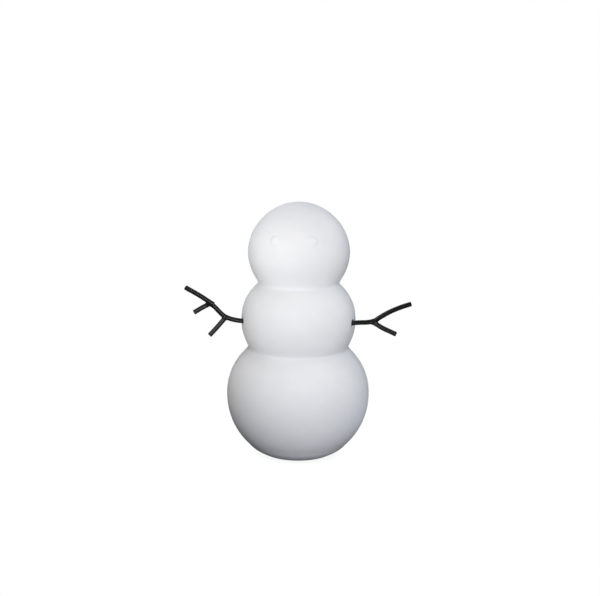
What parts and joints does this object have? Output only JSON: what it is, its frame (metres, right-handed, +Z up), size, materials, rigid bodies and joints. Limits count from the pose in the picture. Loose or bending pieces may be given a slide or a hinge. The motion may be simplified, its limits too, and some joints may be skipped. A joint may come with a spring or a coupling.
{
  "type": "ceramic snowman figurine",
  "caption": "Standing ceramic snowman ornament of stacked balls with a flat foot, raised eyes and black wire twig arms.",
  "frame": {"origin": "on the floor, under the middle of the foot", "axes": "+Z up through the three balls; -Y is the front, where the eyes are; +X is the viewer's right"},
  "size_m": [0.1583, 0.1032, 0.1834],
  "materials": {
    "glazed_ceramic": "matte white glaze",
    "black_wire": "black satin paint on steel wire"
  },
  "bodies": {
    "root": {"ceramic_body": "glazed_ceramic", "left_arm_main_wire": "black_wire", "left_arm_long_twig": "black_wire", "left_arm_lower_twig": "black_wire", "right_arm_main_wire": "black_wire", "right_arm_lower_twig": "black_wire"}
  },
  "joints": []
}
